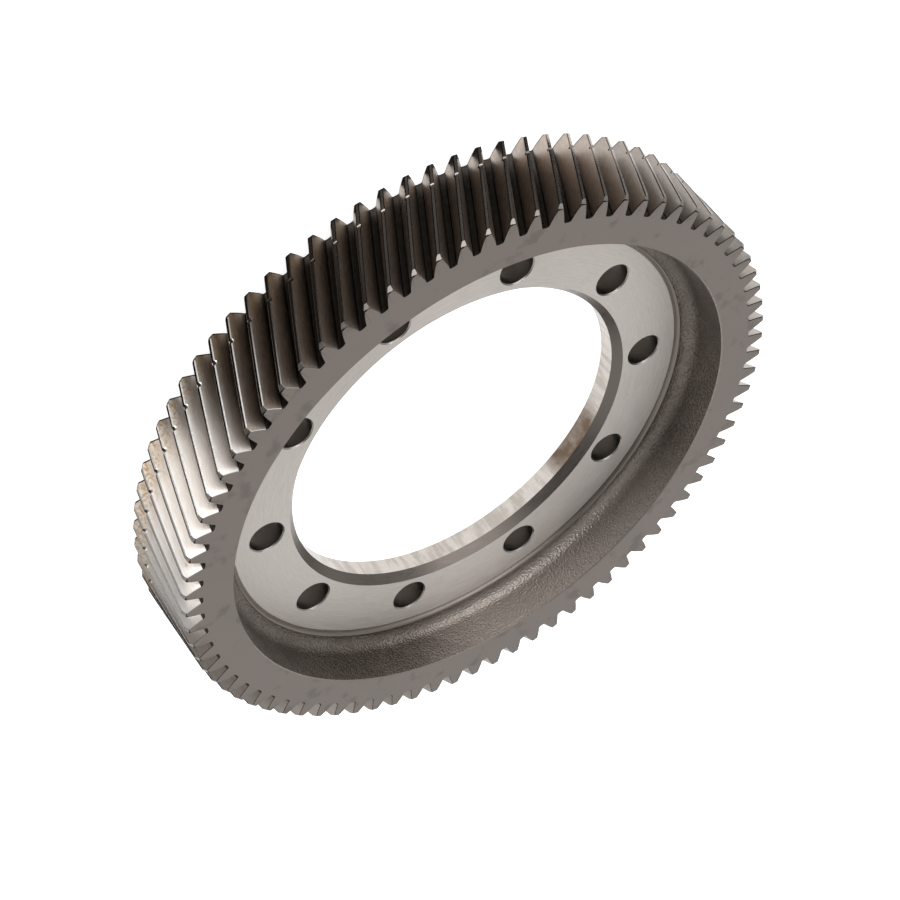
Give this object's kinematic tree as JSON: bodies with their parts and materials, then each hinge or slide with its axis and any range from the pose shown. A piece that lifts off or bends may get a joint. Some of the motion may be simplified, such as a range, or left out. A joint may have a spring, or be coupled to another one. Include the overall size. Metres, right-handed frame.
{
  "type": "final drive gear",
  "caption": "Helical final drive ring gear with a wide bore, a recessed bolting web and a ring of through holes.",
  "frame": {"origin": "on the bore's axis, in the plane of the web's back seat, where the bore's wall begins", "axes": "+Z along the bore's axis, out of the deep front recess and lead-in chamfer; +X through the centre of one bolt hole"},
  "size_m": [0.22, 0.22, 0.034],
  "materials": {
    "gear_steel": "machined and oiled, forged between rim and seat"
  },
  "bodies": {
    "root": {"final_drive_gear": "gear_steel"}
  },
  "joints": []
}
